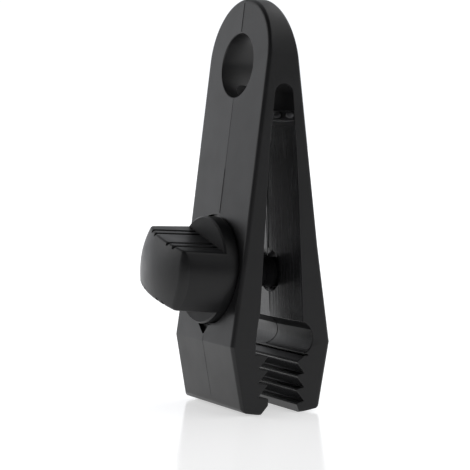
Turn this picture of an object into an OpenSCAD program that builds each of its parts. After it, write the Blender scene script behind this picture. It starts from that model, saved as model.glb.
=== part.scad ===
// Tarp clip with a thumbscrew.
// One A-shaped moulding carries a rope eye at its top and toothed jaws at its foot. Its two legs flex at
// their thin necks, and the thumbscrew draws them together so that the jaws bite the sheet between them.
// The origin is the centre of the rope eye, +Z is up, X runs across the width, and the knob faces -Y.
// The legs are drawn as separate solids that meet the head where the necks begin to flex.

/* [Body] */
// Width of the clip, the same from the eye to the jaws
body_w = 26.5; // [24:0.5:30]
// Thickness of the body level with the rope eye
eye_t = 7.9; // [7:0.1:9]
// Thickness across the two knees
knee_t = 23.8; // [22:0.2:27]
// Depth of the knees below the eye
knee_drop = 58.5; // [57:0.5:62]
// Thickness across the two feet
foot_t = 18.5; // [16:0.1:21]
// Depth of the feet below the eye
foot_drop = 73.1; // [70:0.1:78]
// Rounding of the long outer edges
edge_r = 0.9; // [0.4:0.1:1.2]
// Rounding of the feet at their outer corners
foot_r = 1.3; // [0.5:0.1:2]

/* [Head and slot] */
// Diameter of the rope eye
eye_d = 13.6; // [10:0.2:16]
// Height of the centre of the head's round top above the eye
head_rise = 0.9; // [0:0.1:3]
// Radius of the slot's round top
slot_r = 2.1; // [1.6:0.1:2.4]
// Depth of the slot's round centre below the eye
slot_drop = 6.2; // [5:0.2:9]
// Depth below the eye at which the necks begin to flex
flex_drop = 12; // [11:0.5:16]
// Depth below the eye at which the thin necks end
neck_drop = 18; // [17:0.5:26]
// Gap between the legs where the thin necks end
neck_gap = 6.6; // [5.6:0.1:7]

/* [Jaws] */
// Gap between the tips of the opposed teeth
tip_gap = 6.8; // [5.6:0.1:7.6]
// Depth of a tooth from its tip to its root
tooth_depth = 2.1; // [1.4:0.1:2.5]
// Depth of the rear jaw's first tooth tip below the eye
tooth_drop = 62.4; // [62:0.1:64]
// Number of teeth on each jaw
tooth_count = 4; // [3:1:5]
// Height of the lead-in slope at the foot of each jaw
lead_in_h = 1.95; // [1:0.05:2.5]
// How far the lead-in slope opens the mouth on each side
lead_in_w = 0.8; // [0.4:0.1:1.6]
// Radius of the hem channel above the rear jaw's teeth
channel_r = 3.6; // [3:0.1:4]
// Depth of the hem channel's centre below the eye
channel_drop = 57.4; // [56.5:0.1:58]
// Distance of the hem channel's centre from the middle of the gap
channel_off = 3.95; // [3.5:0.05:4.3]
// Depth of the hollow above the front jaw's teeth, past their roots
front_hollow = 0.7; // [0.4:0.05:0.85]
// Radius of that hollow
front_hollow_r = 40; // [35:1:50]

/* [Thumbscrew] */
// Depth of the screw's axis below the eye, at the middle of the clip
screw_drop = 44.1; // [42:0.1:46]
// Lean of the screw, with its knob end high, in degrees
screw_tilt = 3.5; // [2:0.1:5]
// Outside diameter of the thread in the rear leg
thread_d = 7.5; // [6.5:0.1:8]
// Depth of the thread
thread_depth = 0.65; // [0.5:0.05:0.8]
// Diameter of the plain shoulder in the front leg
shoulder_d = 10.4; // [9:0.1:12]
// How far the shoulder stands past the front leg's inner face
shoulder_past = 0.9; // [0.4:0.1:1.5]
// Diameter of the knob's flange
knob_d = 22.8; // [18:0.2:24]
// How far the flange's rim stands out from the knob
flange_rim = 0.15; // [0.1:0.05:0.5]
// Diameter of the knob at the rim of its crowned end
knob_end_d = 21.6; // [17:0.2:22.4]
// Distance between the knob's two flats
knob_flats = 13.6; // [10:0.2:16]
// Thickness of the round flange behind the flats
flange_t = 3.1; // [2:0.1:4]
// Length of the knob, flange included, up to the rim of its crown
knob_len = 12.1; // [10:0.1:16]
// Rise of the knob's crowned end
crown_h = 3; // [1:0.1:4]
// Angle to which the knob is turned about the screw, in degrees
knob_turn = -17; // [-90:1:90]

/* [Knob grooves] */
// Width of a grip groove
groove_w = 0.7; // [0.4:0.1:1]
// Depth of a grip groove
groove_depth = 0.6; // [0.3:0.1:1]
// Distance of the inner groove from the middle of a flat
groove_inner = 3.1; // [2.5:0.1:3.5]
// Distance of the outer groove from the middle of a flat
groove_outer = 5.3; // [4.8:0.1:6]

/* [Clearances] */
// Depth of the flange's seat in the front leg, at the screw's axis
seat_sink = 0.6; // [0.2:0.1:0.8]
// Room around the flange in its seat
seat_gap = 0.4; // [0.2:0.1:0.8]
// Room around the shoulder in the front leg
shoulder_gap = 0.15; // [0.1:0.05:0.3]
// Room around the thread in the rear leg
thread_gap = 0.2; // [0.15:0.05:0.3]

/* [Hidden] */
$fn = 96;
body_colour = [0.11, 0.11, 0.12];
screw_colour = [0.14, 0.14, 0.15];
// How far a cut runs past the face that it opens, and how deep a tooth is rooted in its leg
overrun = 1;
// Share of a tooth's height that its upper flank takes
upper_flank_share = 0.13;
// Share of the edges' rounding by which its cutter stands off the faces, so that it leaves no sliver
edge_lift_share = 0.02;

// Outer faces: how fast they spread above the knee and draw in below it
spread_share = (knee_t - eye_t) / 2 / knee_drop;
spread_angle = atan(spread_share);
draw_in_angle = atan((knee_t - foot_t) / 2 / (foot_drop - knee_drop));
head_r = body_w / 2;
head_top = head_rise + head_r;
// Jaws: the teeth fill the height from the first tip to the start of the lead-in slope
tip_half = tip_gap / 2;
root_half = tip_half + tooth_depth;
lead_in_drop = foot_drop - lead_in_h;
tooth_pitch = (lead_in_drop - tooth_drop) / (tooth_count - 1);
upper_flank_h = tooth_pitch * upper_flank_share;
// The front teeth stand half a pitch higher than the rear ones, so that the two rows interlock
front_lift = tooth_pitch / 2;
// Distances along the screw from the middle of the clip, the knob's side positive
face_reach = (eye_t / 2 + spread_share * screw_drop) / (cos(screw_tilt) + spread_share * sin(screw_tilt));
seat_reach = face_reach - seat_sink;
leg_slope_share = (root_half - neck_gap / 2) / (channel_drop - neck_drop);
inner_half = neck_gap / 2 + leg_slope_share * (screw_drop - neck_drop);
shoulder_reach = inner_half - shoulder_past;
core_r = thread_d / 2 - thread_depth;
shank_start = shoulder_reach - (shoulder_d / 2 - core_r);
tip_reach = -outer_half(screw_drop);
crown_r = (pow(knob_end_d / 2, 2) + pow(crown_h, 2)) / (2 * crown_h);

// Half the body's thickness at a depth below the eye, above the knees
function outer_half(drop) = eye_t / 2 + spread_share * drop;

// Extrudes a side view, drawn as (Y, Z), across the clip
module across(width) {
  rotate([90, 0, 90]) linear_extrude(width, center = true) children();
}

// Draws its children on the screw's axis: local +Z points out of the knob, local +Y up
module on_screw() {
  translate([0, 0, -screw_drop]) rotate([90 - screw_tilt, 0, 0]) children();
}

// Side view of the whole moulding, with no slot
module side_outline() {
  half = [
    [outer_half(-head_top), head_top],
    [knee_t / 2, -knee_drop],
    [foot_t / 2, -foot_drop]
  ];
  polygon(concat(half, [for (i = [2 : -1 : 0]) [-half[i][0], half[i][1]]]));
}

// The corner that rounding takes off one foot, on the rear side of the side view
module foot_corner() {
  centre = [foot_t / 2 + tan(draw_in_angle) * foot_r - foot_r / cos(draw_in_angle), -foot_drop + foot_r];
  touch = centre + foot_r * [cos(draw_in_angle), -sin(draw_in_angle)];
  beyond = [foot_t / 2 + overrun, -foot_drop - overrun];
  difference() {
    polygon([
      centre,
      [centre[0], -foot_drop],
      [centre[0], beyond[1]],
      beyond,
      [beyond[0], touch[1]],
      touch
    ]);
    translate(centre) circle(foot_r);
  }
}

// Side view of the gap between the legs: a round top, flaring necks and straight leg faces
module gap_outline() {
  translate([0, -slot_drop]) circle(slot_r);
  half = [
    [slot_r, -slot_drop],
    [neck_gap / 2, -neck_drop],
    [root_half, -channel_drop],
    [root_half, -foot_drop - overrun]
  ];
  polygon(concat(half, [for (i = [3 : -1 : 0]) [-half[i][0], half[i][1]]]));
}

// One row of saw teeth on the rear jaw with its lead-in slope, raised by a lift
module tooth_row(lift) {
  root = root_half + overrun;
  top_z = lift - tooth_drop;
  teeth = [
    for (i = [0 : tooth_count - 1]) each [
      [root_half, top_z - i * tooth_pitch + upper_flank_h],
      [tip_half, top_z - i * tooth_pitch]
    ]
  ];
  land = lift > 0 ? [[tip_half, -lead_in_drop]] : [];
  polygon(concat(
    [[root, top_z + upper_flank_h]],
    teeth,
    land,
    [[tip_half + lead_in_w, -foot_drop], [root, -foot_drop]]
  ));
}

// Side view of the rear leg without its teeth
module leg_outline() {
  difference() {
    side_outline();
    gap_outline();
    translate([-knee_t, -foot_drop - overrun]) square([knee_t, foot_drop + head_top + 2 * overrun]);
    translate([-knee_t, -flex_drop]) square([2 * knee_t, flex_drop + head_top + overrun]);
    foot_corner();
  }
}

// The rear leg with its teeth and the hem channel above them
module channelled_leg() {
  difference() {
    union() {
      across(body_w) leg_outline();
      across(body_w) tooth_row(0);
    }
    translate([0, channel_off, -channel_drop]) rotate([0, 90, 0])
      cylinder(r = channel_r, h = body_w + 2 * overrun, center = true);
  }
}

// The mirror image of the front leg: lifted teeth under a long shallow hollow
module hollowed_leg() {
  hollow_centre = [root_half + front_hollow - front_hollow_r, front_lift - tooth_drop + upper_flank_h];
  across(body_w) difference() {
    leg_outline();
    translate(hollow_centre) circle(front_hollow_r);
  }
  across(body_w) tooth_row(front_lift);
}

// Section of what rounding takes off an outer edge, its corner at the origin and the body below and left
module edge_section() {
  inset = edge_r * (1 - edge_lift_share);
  translate([-inset, -inset]) difference() {
    square(edge_r + overrun);
    circle(edge_r);
  }
}

// What rounding takes off the four long edges of one leg and the rim of the head, on the front side
module front_edges() {
  mitre = edge_r * tan((spread_angle + draw_in_angle) / 2);
  upper_len = knee_drop / cos(spread_angle) + mitre;
  lower_len = (foot_drop - knee_drop) / cos(draw_in_angle) + mitre;
  rim_z = head_rise / cos(spread_angle);
  // Above the knee, in a frame that leans with the front face
  translate([0, -eye_t / 2, 0]) rotate([-spread_angle, 0, 0]) {
    for (side = [0, 1]) mirror([side, 0, 0])
      translate([head_r, 0, rim_z]) mirror([0, 0, 1]) mirror([0, 1, 0])
        linear_extrude(upper_len + rim_z) edge_section();
    translate([0, 0, rim_z]) rotate([90, 0, 0])
      rotate_extrude(angle = 180) translate([head_r, 0]) edge_section();
  }
  // Below the knee
  translate([0, -knee_t / 2, -knee_drop]) rotate([draw_in_angle, 0, 0])
    for (side = [0, 1]) mirror([side, 0, 0])
      translate([head_r, 0, mitre]) mirror([0, 0, 1]) mirror([0, 1, 0])
        linear_extrude(lower_len + mitre + overrun) edge_section();
}

// The moulding's upper end: the rope eye, the slot's round top and the two necks
module eye_head() {
  color(body_colour) difference() {
    intersection() {
      across(body_w) difference() {
        side_outline();
        gap_outline();
        translate([-knee_t, -foot_drop - overrun]) square([2 * knee_t, foot_drop + overrun - flex_drop]);
      }
      union() {
        translate([0, 0, head_rise]) rotate([90, 0, 0]) cylinder(r = head_r, h = knee_t, center = true);
        translate([-head_r, -knee_t / 2, -foot_drop]) cube([body_w, knee_t, foot_drop + head_rise]);
      }
    }
    rotate([90, 0, 0]) cylinder(d = eye_d, h = knee_t, center = true);
    front_edges();
    mirror([0, 1, 0]) front_edges();
  }
}

// The front leg: interlocking teeth, a hole for the screw's shoulder and a seat for the flange
module front_leg() {
  color(body_colour) difference() {
    mirror([0, 1, 0]) hollowed_leg();
    front_edges();
    on_screw() cylinder(d = shoulder_d + 2 * shoulder_gap, h = knee_t);
    on_screw() translate([0, 0, seat_reach]) cylinder(d = knob_d + 2 * seat_gap, h = knee_t);
  }
}

// The rear leg, with the hole whose thread takes the screw
module rear_leg() {
  color(body_colour) difference() {
    channelled_leg();
    mirror([0, 1, 0]) front_edges();
    translate([0, 0, -screw_drop]) rotate([-90, 0, 0]) cylinder(d = thread_d + 2 * thread_gap, h = knee_t);
  }
}

// One flat of the knob with its two pairs of grip grooves, as the stock that is cut away
module flat_cut() {
  translate([-knob_d, knob_flats / 2, 0]) cube([2 * knob_d, knob_d, knob_len + crown_h + overrun]);
  for (side = [-1, 1], place = [groove_inner, groove_outer])
    translate([side * place - groove_w / 2, knob_flats / 2 - groove_depth, 0])
      cube([groove_w, knob_d, knob_len + crown_h + overrun]);
}

// The knob's body, rooted in the flange: a slightly tapered round with a crowned end and two grooved flats
module knob() {
  difference() {
    intersection() {
      translate([0, 0, flange_t / 2])
        cylinder(d1 = knob_d - 2 * flange_rim, d2 = knob_end_d, h = knob_len + crown_h + overrun - flange_t / 2);
      translate([0, 0, knob_len + crown_h - crown_r]) sphere(crown_r);
    }
    flat_cut();
    rotate([0, 0, 180]) flat_cut();
  }
}

// The thumbscrew: the knob on its flange, a plain shoulder with a sloped end and the screwed shank
module thumbscrew() {
  tip_r = core_r - thread_depth;
  color(screw_colour) on_screw() {
    translate([0, 0, seat_reach]) rotate([0, 0, knob_turn]) knob();
    rotate_extrude() polygon([
      [0, tip_reach],
      [tip_r, tip_reach],
      [core_r, tip_reach + thread_depth],
      [core_r, shank_start],
      [shoulder_d / 2, shoulder_reach],
      [shoulder_d / 2, seat_reach],
      [knob_d / 2, seat_reach],
      [knob_d / 2, seat_reach + flange_t],
      [0, seat_reach + flange_t]
    ]);
  }
}

eye_head();
front_leg();
rear_leg();
thumbscrew();
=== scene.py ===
# %% [markdown]
# A black plastic tarp clip: an A-shaped moulding with a rope eye at the top and toothed jaws at the foot, and
# a thumbscrew that draws its legs together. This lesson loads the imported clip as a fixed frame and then
# dresses it: the same shapes with rounded edges, mould marks, a thread and a moulded finish.

import math

import bmesh
import bpy
from mathutils import Matrix, Vector


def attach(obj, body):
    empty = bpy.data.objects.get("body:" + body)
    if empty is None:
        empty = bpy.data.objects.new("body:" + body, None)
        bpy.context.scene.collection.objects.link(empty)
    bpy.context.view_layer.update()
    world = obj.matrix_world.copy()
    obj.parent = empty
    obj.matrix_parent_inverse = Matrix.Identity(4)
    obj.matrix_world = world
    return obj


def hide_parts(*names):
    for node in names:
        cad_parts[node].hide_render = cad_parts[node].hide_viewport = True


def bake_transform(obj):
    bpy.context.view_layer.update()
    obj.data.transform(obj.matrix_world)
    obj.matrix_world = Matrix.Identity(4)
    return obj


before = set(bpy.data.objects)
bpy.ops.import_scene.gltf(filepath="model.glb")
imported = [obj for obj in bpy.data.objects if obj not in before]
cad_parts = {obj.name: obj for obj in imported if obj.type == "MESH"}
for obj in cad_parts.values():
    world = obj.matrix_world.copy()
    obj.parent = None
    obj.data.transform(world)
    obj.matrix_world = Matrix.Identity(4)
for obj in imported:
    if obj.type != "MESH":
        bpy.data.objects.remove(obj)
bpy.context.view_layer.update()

# %% [markdown]
# The moulding follows the sizes of its solids, with small trims of up to a millimetre taken from the
# photograph. Blender's unit is the metre, so every size is written in millimetres times one constant, which
# keeps the numbers as on a drawing of the clip. Seen from the side, the moulding widens from the eye to the
# knee, a little hollow on the way, and draws in again to the foot. A function of the height says how thick it
# is, so every later step can ask for the same outer face.

# %% Sizes of the moulding
MM = 0.001
body_width = 26.5 * MM
eye_thickness = 7.9 * MM
knee_thickness = 23.8 * MM
knee_depth = 58.5 * MM
waist_half = 8.8 * MM
waist_depth = 38.0 * MM
foot_thickness = 18.5 * MM
foot_depth = 73.1 * MM
eye_radius = 6.8 * MM
head_rise = 0.9 * MM
head_radius = body_width / 2
slot_radius = 2.1 * MM
slot_depth = 6.2 * MM
neck_depth = 18.0 * MM
neck_half = 3.3 * MM


def outer_half(z):
    """Half the moulding's thickness at a height."""
    if z >= -waist_depth:
        return eye_thickness / 2 - z * (waist_half - eye_thickness / 2) / waist_depth
    if z >= -knee_depth:
        share = (-z - waist_depth) / (knee_depth - waist_depth)
        return waist_half + share * (knee_thickness / 2 - waist_half)
    share = (-z - knee_depth) / (foot_depth - knee_depth)
    return knee_thickness / 2 + share * (foot_thickness - knee_thickness) / 2


print("thickness at the eye and knee, mm:", 2 * outer_half(0) / MM, 2 * outer_half(-knee_depth) / MM)

# %% [markdown]
# Each jaw has a row of saw teeth: the upper flank is nearly level and the lower one slopes, so a sheet slides
# in and can't slide out. The front row stands half a tooth higher than the rear one, so the two rows
# interlock. The teeth could be cut one by one with booleans. A side view of points is plainer, because all
# that is in it runs straight across the clip.

# %% Sizes of the jaws
rear_tip = 3.65 * MM
front_tip = 3.1 * MM
root_half = 5.5 * MM
tooth_top = 62.25 * MM
tooth_count = 4
lead_in_height = 1.95 * MM
rear_lead_in = 0.8 * MM
front_lead_in = 1.8 * MM
past = 2 * MM
flank_share = 0.13
tooth_pitch = (foot_depth - lead_in_height - tooth_top) / (tooth_count - 1)
upper_flank = flank_share * tooth_pitch
front_lift = tooth_pitch / 2
print("tooth pitch, mm:", round(tooth_pitch / MM, 3))

# %% [markdown]
# Above the rear teeth a round channel takes the hem of the sheet, with a narrow slit under it. Above the
# front teeth is only a shallow hollow. The channel's round has to end exactly on the leg's sloping inner
# face, and halving an interval again and again finds that height without any algebra.

# %% The hem channel
channel_radius = 3.6 * MM
channel_depth = 57.4 * MM
channel_centre = 3.95 * MM
halvings = 50


def arc(centre, radius, start, end, steps):
    """Points along an arc in the side view, the angles in degrees from +Y towards +Z."""
    angles = [math.radians(start + (end - start) * i / steps) for i in range(steps + 1)]
    return [(centre[0] + radius * math.cos(a), centre[1] + radius * math.sin(a)) for a in angles]


def inner_half(z):
    """Half the gap between the legs, between the neck and the channel."""
    share = (-z - neck_depth) / (channel_depth - neck_depth)
    return neck_half + share * (root_half - neck_half)


def channel_top():
    """Where the channel's round meets the leg's inner face."""
    low, high = -channel_depth, -channel_depth + channel_radius
    for _ in range(halvings):
        z = (low + high) / 2
        inside = math.hypot(inner_half(z) - channel_centre, z + channel_depth) < channel_radius
        low, high = (z, high) if inside else (low, z)
    return (inner_half(z), z)


print("top of the hem channel, mm:", round(channel_top()[1] / MM, 3))

# %% [markdown]
# One function now walks up a leg's inner side, from below the foot over the teeth to the neck, and returns
# the points on its way. A lift above zero asks for the front jaw, with its hollow, and zero for the rear one,
# with its slit and channel.

# %% Side view of a jaw
recess_depth = 0.7 * MM
recess_radius = 40.0 * MM
recess_top = -51.4 * MM
recess_steps = 10
slit_low = -61.15 * MM
slit_high = -60.8 * MM
slit_depth = 0.9 * MM
slit_back = root_half + slit_depth
channel_steps = 20


def jaw_side(lift):
    """One leg's inner side from the foot up to the slot, as (y, z) with y positive."""
    tip = front_tip if lift > 0 else rear_tip
    lead_in = front_lead_in if lift > 0 else rear_lead_in
    below = (lead_in_height + past) / lead_in_height
    points = [(tip + lead_in * below, -foot_depth - past)]
    if lift > 0:
        points.append((tip, -foot_depth + lead_in_height))
    for i in reversed(range(tooth_count)):
        tip_z = lift - tooth_top - i * tooth_pitch
        if i > 0 or lift == 0:
            points += [(tip, tip_z), (root_half, tip_z + upper_flank)]
    if lift > 0:
        low = lift - tooth_top + upper_flank
        points += [(tip, low - upper_flank), (root_half, low), (root_half + recess_depth, low)]
        steps = [low + (recess_top - low) * i / recess_steps for i in range(1, recess_steps)]
        points += [(root_half + recess_depth - (z - low) ** 2 / 2 / recess_radius, z) for z in steps]
        return points + [(inner_half(recess_top), recess_top), (neck_half, -neck_depth)]
    bottom = -math.degrees(math.acos((root_half - channel_centre) / channel_radius))
    top = channel_top()
    upper = math.degrees(math.atan2(top[1] + channel_depth, top[0] - channel_centre))
    points[-1] = (root_half, slit_low)
    points += [(slit_back, slit_low), (slit_back, slit_high), (root_half, slit_high)]
    points += arc((channel_centre, -channel_depth), channel_radius, bottom, upper, channel_steps)
    return points + [(neck_half, -neck_depth)]


rear_jaw = jaw_side(0)
front_jaw = jaw_side(front_lift)
print("points in the rear and front jaw:", len(rear_jaw), len(front_jaw))

# %% [markdown]
# Every piece below is made with the same four tools. One turns a bmesh, Blender's editable mesh, into an
# object. One joins rings of points into a closed skin. One keeps what an object's modifiers made as its own
# mesh, and one cuts or joins two objects with a boolean. All of this could be done by hand in the menus, but
# functions keep each later step short and make it repeat exactly.


# %% Mesh tools
def new_piece(name, editable):
    """A mesh object from a filled bmesh, with its faces turned outwards."""
    bmesh.ops.recalc_face_normals(editable, faces=editable.faces)
    mesh = bpy.data.meshes.new(name)
    editable.to_mesh(mesh)
    editable.free()
    piece = bpy.data.objects.new(name, mesh)
    bpy.context.scene.collection.objects.link(piece)
    return piece


def loft(name, sections):
    """Joins rings of points, each as long as the next, into a skin that is closed at both ends."""
    editable = bmesh.new()
    rings = [[editable.verts.new(p) for p in section] for section in sections]
    count = len(rings[0])
    for low, high in zip(rings, rings[1:]):
        for i in range(count):
            j = (i + 1) % count
            editable.faces.new((low[i], low[j], high[j], high[i]))
    editable.faces.new(rings[0])
    editable.faces.new(rings[-1])
    return new_piece(name, editable)


def settle(piece):
    """Makes the result of a piece's modifiers its own mesh."""
    graph = bpy.context.evaluated_depsgraph_get()
    graph.update()
    made = bpy.data.meshes.new_from_object(piece.evaluated_get(graph))
    piece.modifiers.clear()
    old = piece.data
    piece.data = made
    bpy.data.meshes.remove(old)
    return piece


def carve(piece, tool, how):
    """Applies a boolean with a tool that is then thrown away."""
    change = piece.modifiers.new("carve", "BOOLEAN")
    change.operation = how
    change.solver = "EXACT"
    change.object = tool
    settle(piece)
    bpy.data.objects.remove(tool)
    return piece


print("mesh tools:", [tool.__name__ for tool in (new_piece, loft, settle, carve)])

# %% [markdown]
# A mould part only comes out of the plastic if the faces it shaped slope a little, which is called draft. The
# pin that shaped the rope eye was drawn out forwards, so the eye narrows towards the rear. The two slides
# that shaped the gap were drawn out sideways, so the legs' inner faces stand out a little along the middle.
# That fades out at the neck, which has to bend, and at the teeth.

# %% Draft of the eye and the legs
eye_draft = 0.4 * MM
inner_draft = 0.75 * MM
draft_end = -60.6 * MM
draft_fade = 4.5 * MM
draft_past = 0.3 * MM
draft_width = head_radius + draft_past
bend_end = 16.0 * MM
skin = 1.0 * MM


def eye_at(y):
    """Radius of the rope eye at a place through the thickness."""
    return eye_radius - eye_draft * (y + eye_thickness / 2) / eye_thickness


def draft_at(z):
    """How far a leg's inner face stands out along the middle of the clip at a height."""
    below_neck = min(1, max(0, (-z - bend_end) / draft_fade))
    above_teeth = min(1, max(0, (z - draft_end) / draft_fade))
    return inner_draft * (below_neck * above_teeth)


def drafted(x, y, z):
    """A point of the side view set at a place across the clip, with the draft of the inner faces."""
    on_inside = abs(y) < outer_half(z) - skin
    lift = draft_at(z) * (1 - abs(x) / draft_width) if on_inside else 0
    return (x, y - lift if y > 0 else y + lift, z)


front_eye, rear_eye = eye_at(-eye_thickness / 2), eye_at(eye_thickness / 2)
print("radius of the eye in front and behind, mm:", round(front_eye / MM, 2), round(rear_eye / MM, 2))

# %% [markdown]
# The whole side view joins the two jaws round the slot's arch and closes over the outer faces. Lofted across
# the clip, it gives the A shape. The front view is a tongue with a round top. Where the two prisms overlap is
# the moulding, so one boolean gives its corners exactly, with no coplanar faces to confuse it, and a second
# one cuts the rope eye.

# %% The sharp moulding
arch_steps = 24
head_steps = 72
eye_steps = 96
top_z = head_rise + head_radius + past
half_outline = [(outer_half(z), z) for z in (top_z, -waist_depth, -knee_depth, -foot_depth - past)]
slot_arch = arc((0, -slot_depth), slot_radius, 0, 180, arch_steps)
side_view = half_outline + rear_jaw + slot_arch
side_view += [(-y, z) for y, z in reversed(half_outline + front_jaw)]
front_view = [(head_radius, -foot_depth - 2 * past)]
front_view += arc((0, head_rise), head_radius, 0, 180, head_steps)
front_view += [(-head_radius, -foot_depth - 2 * past)]
across = (-draft_width, 0, draft_width)
through = (-body_width, body_width)
moulding = loft("moulding", [[drafted(x, y, z) for y, z in side_view] for x in across])
tongue = loft("tongue", [[(x, y, z) for x, z in front_view] for y in through])
carve(moulding, tongue, "INTERSECT")
eye_rings = []
for y in through:
    circle = arc((0, 0), eye_at(y), 0, 360 - 360 / eye_steps, eye_steps - 1)
    eye_rings.append([(x, y, z) for x, z in circle])
carve(moulding, loft("eye", eye_rings), "DIFFERENCE")
print("faces of the sharp moulding:", len(moulding.data.polygons))

# %% [markdown]
# Few edges that come out of a mould are sharp. The long outer edges have a round of nearly a millimetre,
# which shows as a dark band beside the bright front face. The tooth tips have about a third of
# that, and the rim of the eye and all other edges less still. The functions below sort the edges by where
# they lie, which is surer than picking them by number, because the numbers change with every edit.

# %% Which edges are rounded
outer_round = 0.9 * MM
tip_round = 0.34 * MM
rim_round = 0.25 * MM
fine_round = 0.18 * MM
near = 0.005 * MM
crease = math.radians(14)


def on_tongue(p):
    """Whether a point lies on the sides of the clip or the round top of its head."""
    reach = abs(p.x) if p.z <= head_rise else math.hypot(p.x, p.z - head_rise)
    return abs(reach - head_radius) < 10 * near


def on_outside(p):
    """Whether a point lies on the outer faces of the legs or the head."""
    return abs(abs(p.y) - outer_half(p.z)) < near


def tip_at(y):
    """How far the tooth tips stand from the middle on the front or the rear jaw."""
    return front_tip if y < 0 else rear_tip


def edge_rounding(edge):
    """The rounding that an edge of the moulding gets."""
    ends = [v.co for v in edge.verts]
    sharp = len(edge.link_faces) == 2 and edge.calc_face_angle(0) > crease
    if not sharp:
        return 0
    if all(on_tongue(p) for p in ends):
        outside = all(on_outside(p) for p in ends) or all(p.z < -foot_depth - past / 2 for p in ends)
        return outer_round if outside else fine_round
    if all(on_outside(p) and abs(math.hypot(p.x, p.z) - eye_at(p.y)) < 2 * near for p in ends):
        return rim_round
    level = abs(ends[0].x - ends[1].x) > body_width / 4
    on_tip = all(p.z < slit_low and abs(p.y) < tip_at(p.y) + near for p in ends)
    return 0 if not level else tip_round if on_tip else fine_round


rounds = (outer_round, tip_round, rim_round, fine_round)
print("rounds of outer edges, tips, eye and the rest, mm:", [round(size / MM, 2) for size in rounds])

# %% [markdown]
# One Bevel modifier makes all these rounds, because it scales its width by a weight that each edge carries.
# Faces with more than four corners are cut into triangles afterwards, so that the booleans to come work on
# plain faces.

# %% Rounding the edges
merge_distance = 0.001 * MM
round_segments = 4
editable = bmesh.new()
editable.from_mesh(moulding.data)
bmesh.ops.remove_doubles(editable, verts=editable.verts, dist=merge_distance)
weight = editable.edges.layers.float.new("bevel_weight_edge")
for edge in editable.edges:
    edge[weight] = edge_rounding(edge) / outer_round
weighted = sum(1 for edge in editable.edges if edge[weight] > 0)
editable.to_mesh(moulding.data)
editable.free()
rounding = moulding.modifiers.new("rounded edges", "BEVEL")
rounding.limit_method = "WEIGHT"
rounding.width = outer_round
rounding.segments = round_segments
rounding.use_clamp_overlap = False
settle(moulding)
editable = bmesh.new()
editable.from_mesh(moulding.data)
many_sided = [face for face in editable.faces if len(face.verts) > 4]
bmesh.ops.triangulate(editable, faces=many_sided)
editable.to_mesh(moulding.data)
editable.free()
print("rounded edges:", weighted, "faces of the rounded moulding:", len(moulding.data.polygons))

# %% [markdown]
# The feet end in soles with crisp edges that rise slightly outwards, and their outer corners are round. The
# legs were drawn too long for that. One prism now takes off what lies below the soles and outside the round
# of their corners, so the rounded long edges run out at the sole, and two small ones round the soles' ends.

# %% Soles
foot_rounding = 1.7 * MM
sole_rise = 0.55 * MM
sole_inside = 4.9 * MM
sole_corner = 0.7 * MM
arc_clear = 0.003 * MM
foot_steps = 6
corner_steps = 8
cut_low = -foot_depth - 2 * past


def foot_arc():
    """The rounded outer corner of a foot, from its outer face to its sole."""
    lean = math.atan((knee_thickness - foot_thickness) / 2 / (foot_depth - knee_depth))
    height = -foot_depth + sole_rise + foot_rounding
    centre = (outer_half(height) - foot_rounding / math.cos(lean) + arc_clear, height)
    sole_lean = math.degrees(math.atan(sole_rise / (outer_half(-foot_depth) - sole_inside)))
    return arc(centre, foot_rounding, -math.degrees(lean), sole_lean - 90, foot_steps)


sole_path = [(body_width, foot_arc()[0][1])] + foot_arc() + [(sole_inside, -foot_depth)]
under = [(body_width, cut_low)]
sole_side = under + sole_path + [(-y, z) for y, z in reversed(under + sole_path)]
carve(moulding, loft("soles", [[(x, y, z) for y, z in sole_side] for x in through]), "DIFFERENCE")
corner_place = (head_radius - sole_corner, sole_corner - foot_depth)
corner_curve = arc(corner_place, sole_corner, 0, -90, corner_steps)
corner_view = corner_curve + [(corner_curve[-1][0], cut_low)]
corner_view += [(body_width, cut_low), (body_width, corner_curve[0][1])]
for side in (-1, 1):
    corner = [[(side * x, y, z) for x, z in corner_view] for y in through]
    carve(moulding, loft("sole_corner", corner), "DIFFERENCE")
lowest = min(v.co.z for v in moulding.data.vertices)
print("lowest point of the soles, mm:", round(lowest / MM, 3))

# %% [markdown]
# The thumbscrew leans a little, its knob end high. Everything on it is drawn along its own axis and then
# turned into place by one matrix: local +Z points out of the knob, and zero lies in the middle of the clip.
# What is round on it is turned as on a lathe, from a list of radii along the axis.

# %% The screw's axis
screw_depth = 44.1 * MM
screw_tilt = math.radians(3.5)
round_steps = 96
on_screw = Matrix.Translation((0, 0, -screw_depth)) @ Matrix.Rotation(math.pi / 2 - screw_tilt, 4, "X")


def turned(name, profile, steps=round_steps, place=on_screw):
    """A lathe-turned solid from (radius, reach) pairs along an axis."""
    angles = [2 * math.pi * i / steps for i in range(steps)]
    sections = []
    for radius, reach in profile:
        ring = [Vector((radius * math.cos(a), radius * math.sin(a), reach)) for a in angles]
        sections.append([place @ p for p in ring])
    return loft(name, sections)


print("lean of the screw, degrees:", round(math.degrees(screw_tilt), 2))

# %% [markdown]
# In the front leg the screw's plain shoulder turns in a hole, a little wider than itself and opened towards
# the gap, and its flange sits in a shallow round seat. Both are cut along the screw's own axis, so they lean
# as the screw does and the flange lies flat in its seat.

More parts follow.
